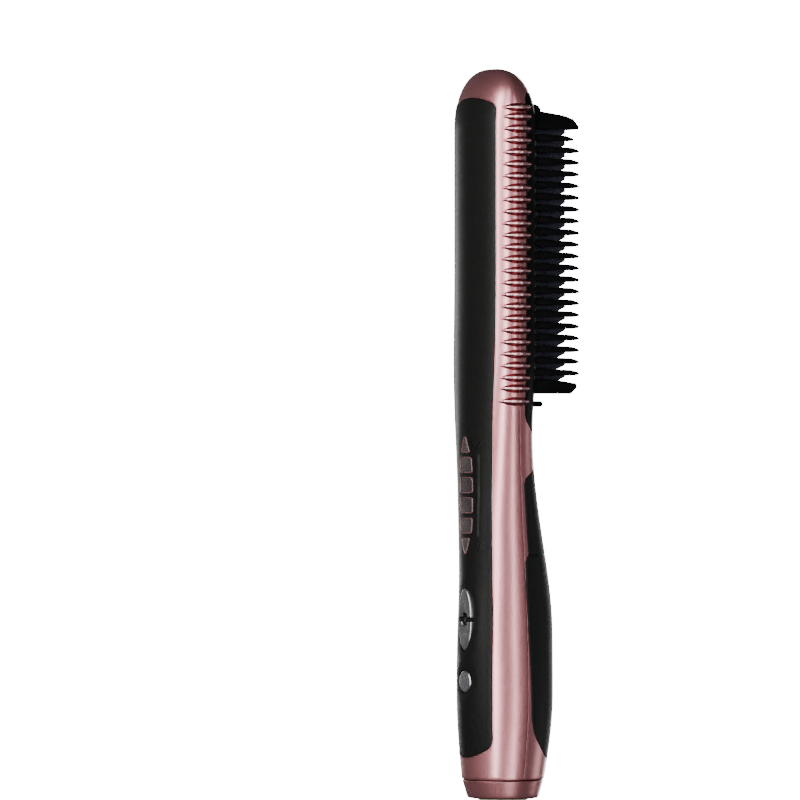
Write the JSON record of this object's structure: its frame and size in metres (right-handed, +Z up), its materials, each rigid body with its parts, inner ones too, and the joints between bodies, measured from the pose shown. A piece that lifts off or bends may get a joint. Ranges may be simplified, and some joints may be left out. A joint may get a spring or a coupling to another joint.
{
  "type": "hair straightening comb",
  "caption": "Upright heated hair straightening comb with a ribbed head, guarded heating teeth, a control panel with push buttons and a soft rear grip.",
  "frame": {"origin": "middle of the cord gland's mouth, on the face that the tail stands on", "axes": "+Z up the handle to the comb head, -Y out of the control panel, +Y along the teeth"},
  "size_m": [0.0464, 0.0414, 0.27],
  "materials": {
    "rose_shell": "rose-gold metallic paint",
    "charcoal_panel": "soft-touch charcoal",
    "black_grip": "matt black grip",
    "black_comb": "glossy black",
    "navy_heater": "dark navy coating",
    "silver_key": "satin silver plating",
    "indicator_lens": "dark translucent",
    "grey_collar": "light grey",
    "lamp_body": "clear lamp",
    "circuit_board": "green solder mask",
    "switch_body": "black",
    "ceramic": "white ceramic",
    "amber_sheet": "amber film",
    "clamp_steel": "spring steel",
    "shield_board": "mica board",
    "screw_steel": "zinc plated",
    "sensor_bead": "coated bead"
  },
  "bodies": {
    "housing": {"front_shell": "rose_shell", "rear_shell": "rose_shell", "tail_cap": "rose_shell", "front_panel": "charcoal_panel", "rear_grip_pad": "black_grip", "rear_neck_panel": "black_grip", "guard_comb": "black_comb", "heater_plate": "navy_heater", "indicator_windows": "indicator_lens", "cord_gland": "grey_collar", "indicator_leds": "lamp_body", "control_board": "circuit_board", "tact_switches": "switch_body", "shell_screw": "screw_steel", "lower_ptc_heater": "ceramic", "upper_ptc_heater": "ceramic", "insulation_sheet": "amber_sheet", "heater_clamp": "clamp_steel", "heat_shield": "shield_board", "thermistor": "sensor_bead", "thermal_fuse": "sensor_bead"},
    "plus_button": {"plus_button": "silver_key"},
    "minus_button": {"minus_button": "silver_key"},
    "power_button": {"power_button": "silver_key"}
  },
  "joints": [
    {"name": "plus_press", "type": "slide", "parent": "housing", "child": "plus_button", "axis": [0, 1, 0], "range_m": [0, 0.0006], "stiffness_N_per_m": 2000},
    {"name": "minus_press", "type": "slide", "parent": "housing", "child": "minus_button", "axis": [0, 1, 0], "range_m": [0, 0.0006], "stiffness_N_per_m": 2000},
    {"name": "power_press", "type": "slide", "parent": "housing", "child": "power_button", "axis": [0, 1, 0], "range_m": [0, 0.0006], "stiffness_N_per_m": 2000}
  ]
}
